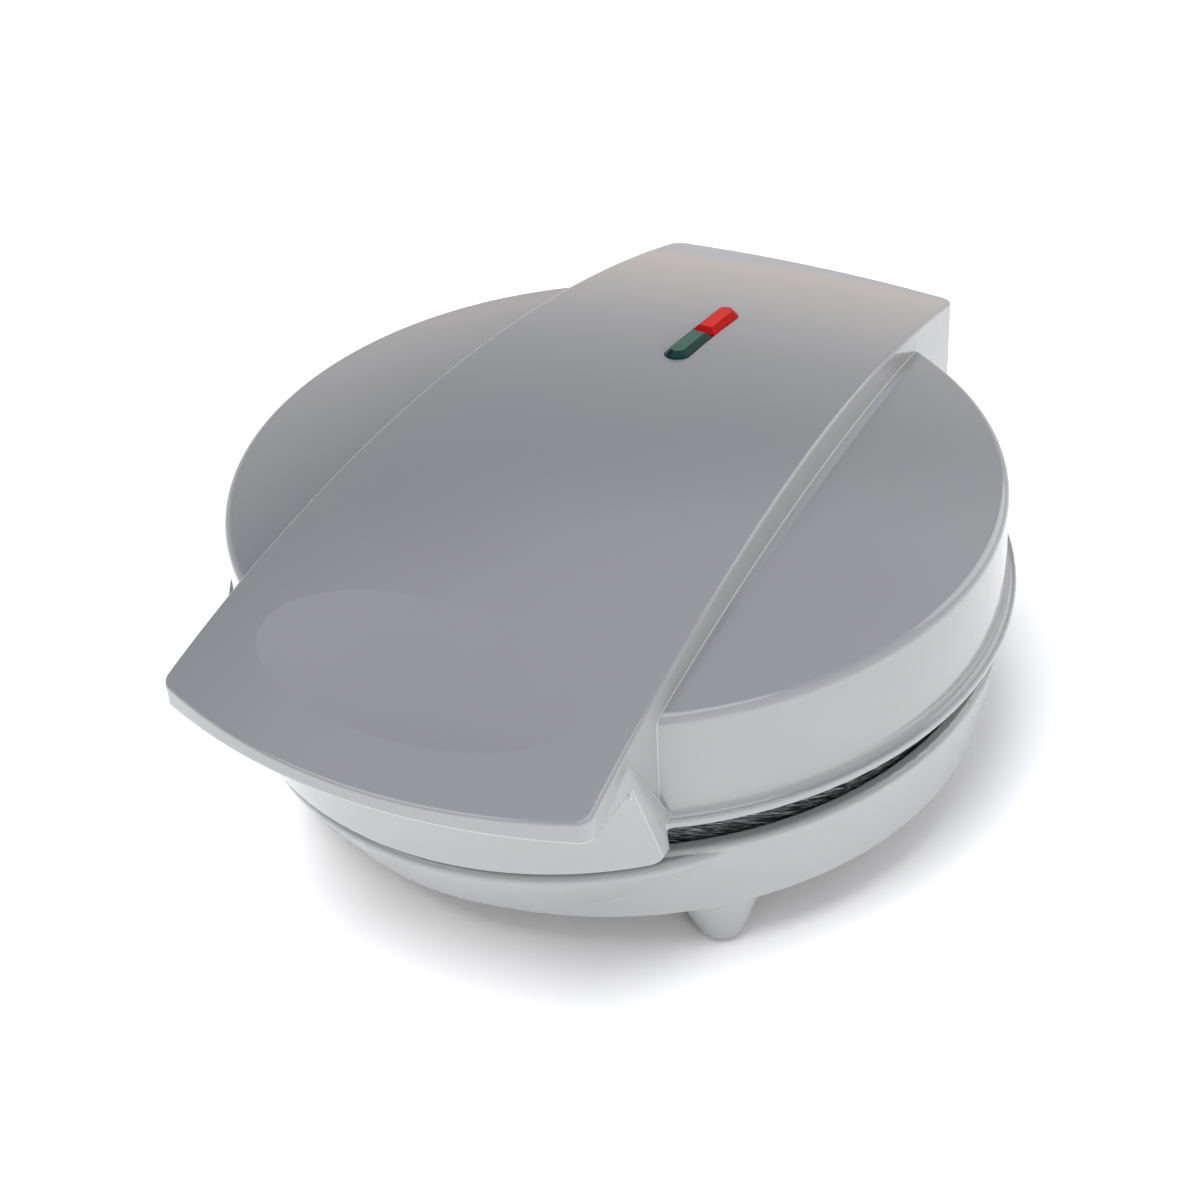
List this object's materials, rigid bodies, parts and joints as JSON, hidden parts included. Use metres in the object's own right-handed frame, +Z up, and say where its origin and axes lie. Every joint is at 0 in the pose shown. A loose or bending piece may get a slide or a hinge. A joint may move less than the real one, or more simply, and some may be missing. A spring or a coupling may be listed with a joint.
{
  "type": "doughnut maker",
  "caption": "Round clam-shell countertop cooker with ring moulds between two coated plates, a wide handle band over its hinged lid, a lamp window and cone-shaped feet.",
  "frame": {"origin": "On the surface it stands on, under the middle of the whole outline", "axes": "+Z up, -Y towards the front where the handle is, +X to the right seen from the front"},
  "size_m": [0.2062, 0.2498, 0.0981],
  "materials": {
    "housing_plastic": "glossy silver-grey ABS",
    "pad_rubber": "matt black rubber",
    "green_lens": "clear green acrylic, moulded",
    "red_lens": "clear red acrylic, moulded",
    "plate_coating": "die-cast, black non-stick coating",
    "steel": "zinc-plated steel",
    "element_sheath": "heat-darkened steel tube",
    "sheet_steel": "galvanised sheet steel",
    "inner_plastic": "matt ivory thermoset",
    "lamp_glass": "clear glass",
    "black_rubber": "matt black rubber",
    "lead_sleeve": "white glass-fibre sleeve"
  },
  "bodies": {
    "base": {"base_housing": "housing_plastic", "foot_pads": "pad_rubber", "lower_plate": "plate_coating", "lower_plate_screws": "steel", "lower_element": "element_sheath", "lower_element_clips": "sheet_steel", "lower_clip_screws": "steel", "lower_heat_shield": "sheet_steel", "lower_shield_screws": "steel", "terminal_block": "inner_plastic", "cord_gland": "black_rubber", "base_wiring": "lead_sleeve", "hinge_pin_left": "steel", "hinge_pin_right": "steel"},
    "lid": {"lid_housing": "housing_plastic", "green_lens": "green_lens", "red_lens": "red_lens", "upper_plate": "plate_coating", "upper_plate_screws": "steel", "upper_element": "element_sheath", "upper_element_clips": "sheet_steel", "upper_clip_screws": "steel", "upper_heat_shield": "sheet_steel", "upper_shield_screws": "steel", "lamp_carrier": "inner_plastic", "carrier_screws": "steel", "red_lamp": "lamp_glass", "green_lamp": "lamp_glass", "thermostat": "inner_plastic", "thermostat_screws": "steel", "lid_wiring": "lead_sleeve"}
  },
  "joints": [
    {"name": "lid_hinge", "type": "hinge", "parent": "base", "child": "lid", "pos_m": [0, 0.1086, 0.046], "axis": [-1, 0, 0], "range_deg": [0, 100]}
  ]
}
